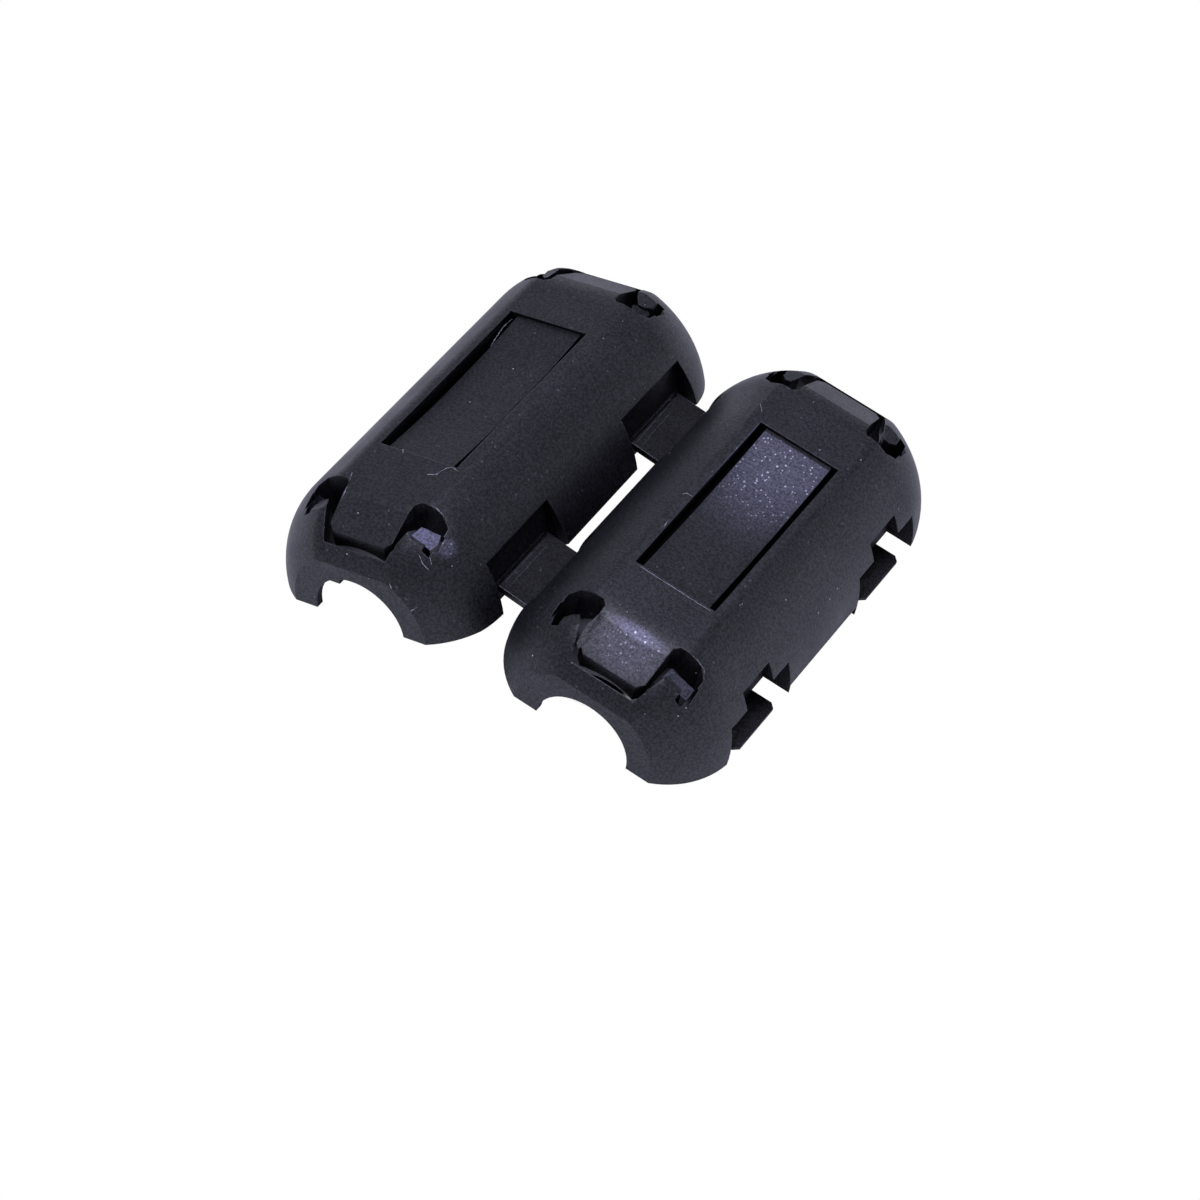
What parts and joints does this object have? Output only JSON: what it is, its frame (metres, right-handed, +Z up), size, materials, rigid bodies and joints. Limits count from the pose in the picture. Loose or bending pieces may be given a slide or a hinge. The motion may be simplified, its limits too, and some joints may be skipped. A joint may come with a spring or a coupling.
{
  "type": "clip-on ferrite bead",
  "caption": "Hinged plastic case with a split ferrite tube inside that snaps shut around a cable, shown opened out and standing dome side up.",
  "frame": {"origin": "centre of the bounding box on the table, under the opened bead", "axes": "+X across the two halves, from the loop half to the lug half; +Y along the cable; +Z up"},
  "size_m": [0.0344, 0.0332, 0.0122],
  "materials": {
    "shell_plastic": "fine moulded grain",
    "ferrite": "sintered and ground"
  },
  "bodies": {
    "left_half": {"left_shell": "shell_plastic", "left_core": "ferrite"},
    "hinge_link": {"front_hinge_strap": "shell_plastic", "rear_hinge_strap": "shell_plastic"},
    "right_half": {"right_shell": "shell_plastic", "right_core": "ferrite"}
  },
  "joints": [
    {"name": "left_fold", "type": "hinge", "parent": "left_half", "child": "hinge_link", "pos_m": [-0.00124, 0, 0.00668], "axis": [0, 1, 0], "range_deg": [-8.11, 66.51]},
    {"name": "right_fold", "type": "hinge", "parent": "hinge_link", "child": "right_half", "pos_m": [0.00156, 0, 0.00594], "axis": [0, 1, 0], "range_deg": [-11.36, 93.3]}
  ],
  "couplings": [
    {"joint": "left_fold", "follows": "right_fold", "ratio": 0.71275}
  ]
}
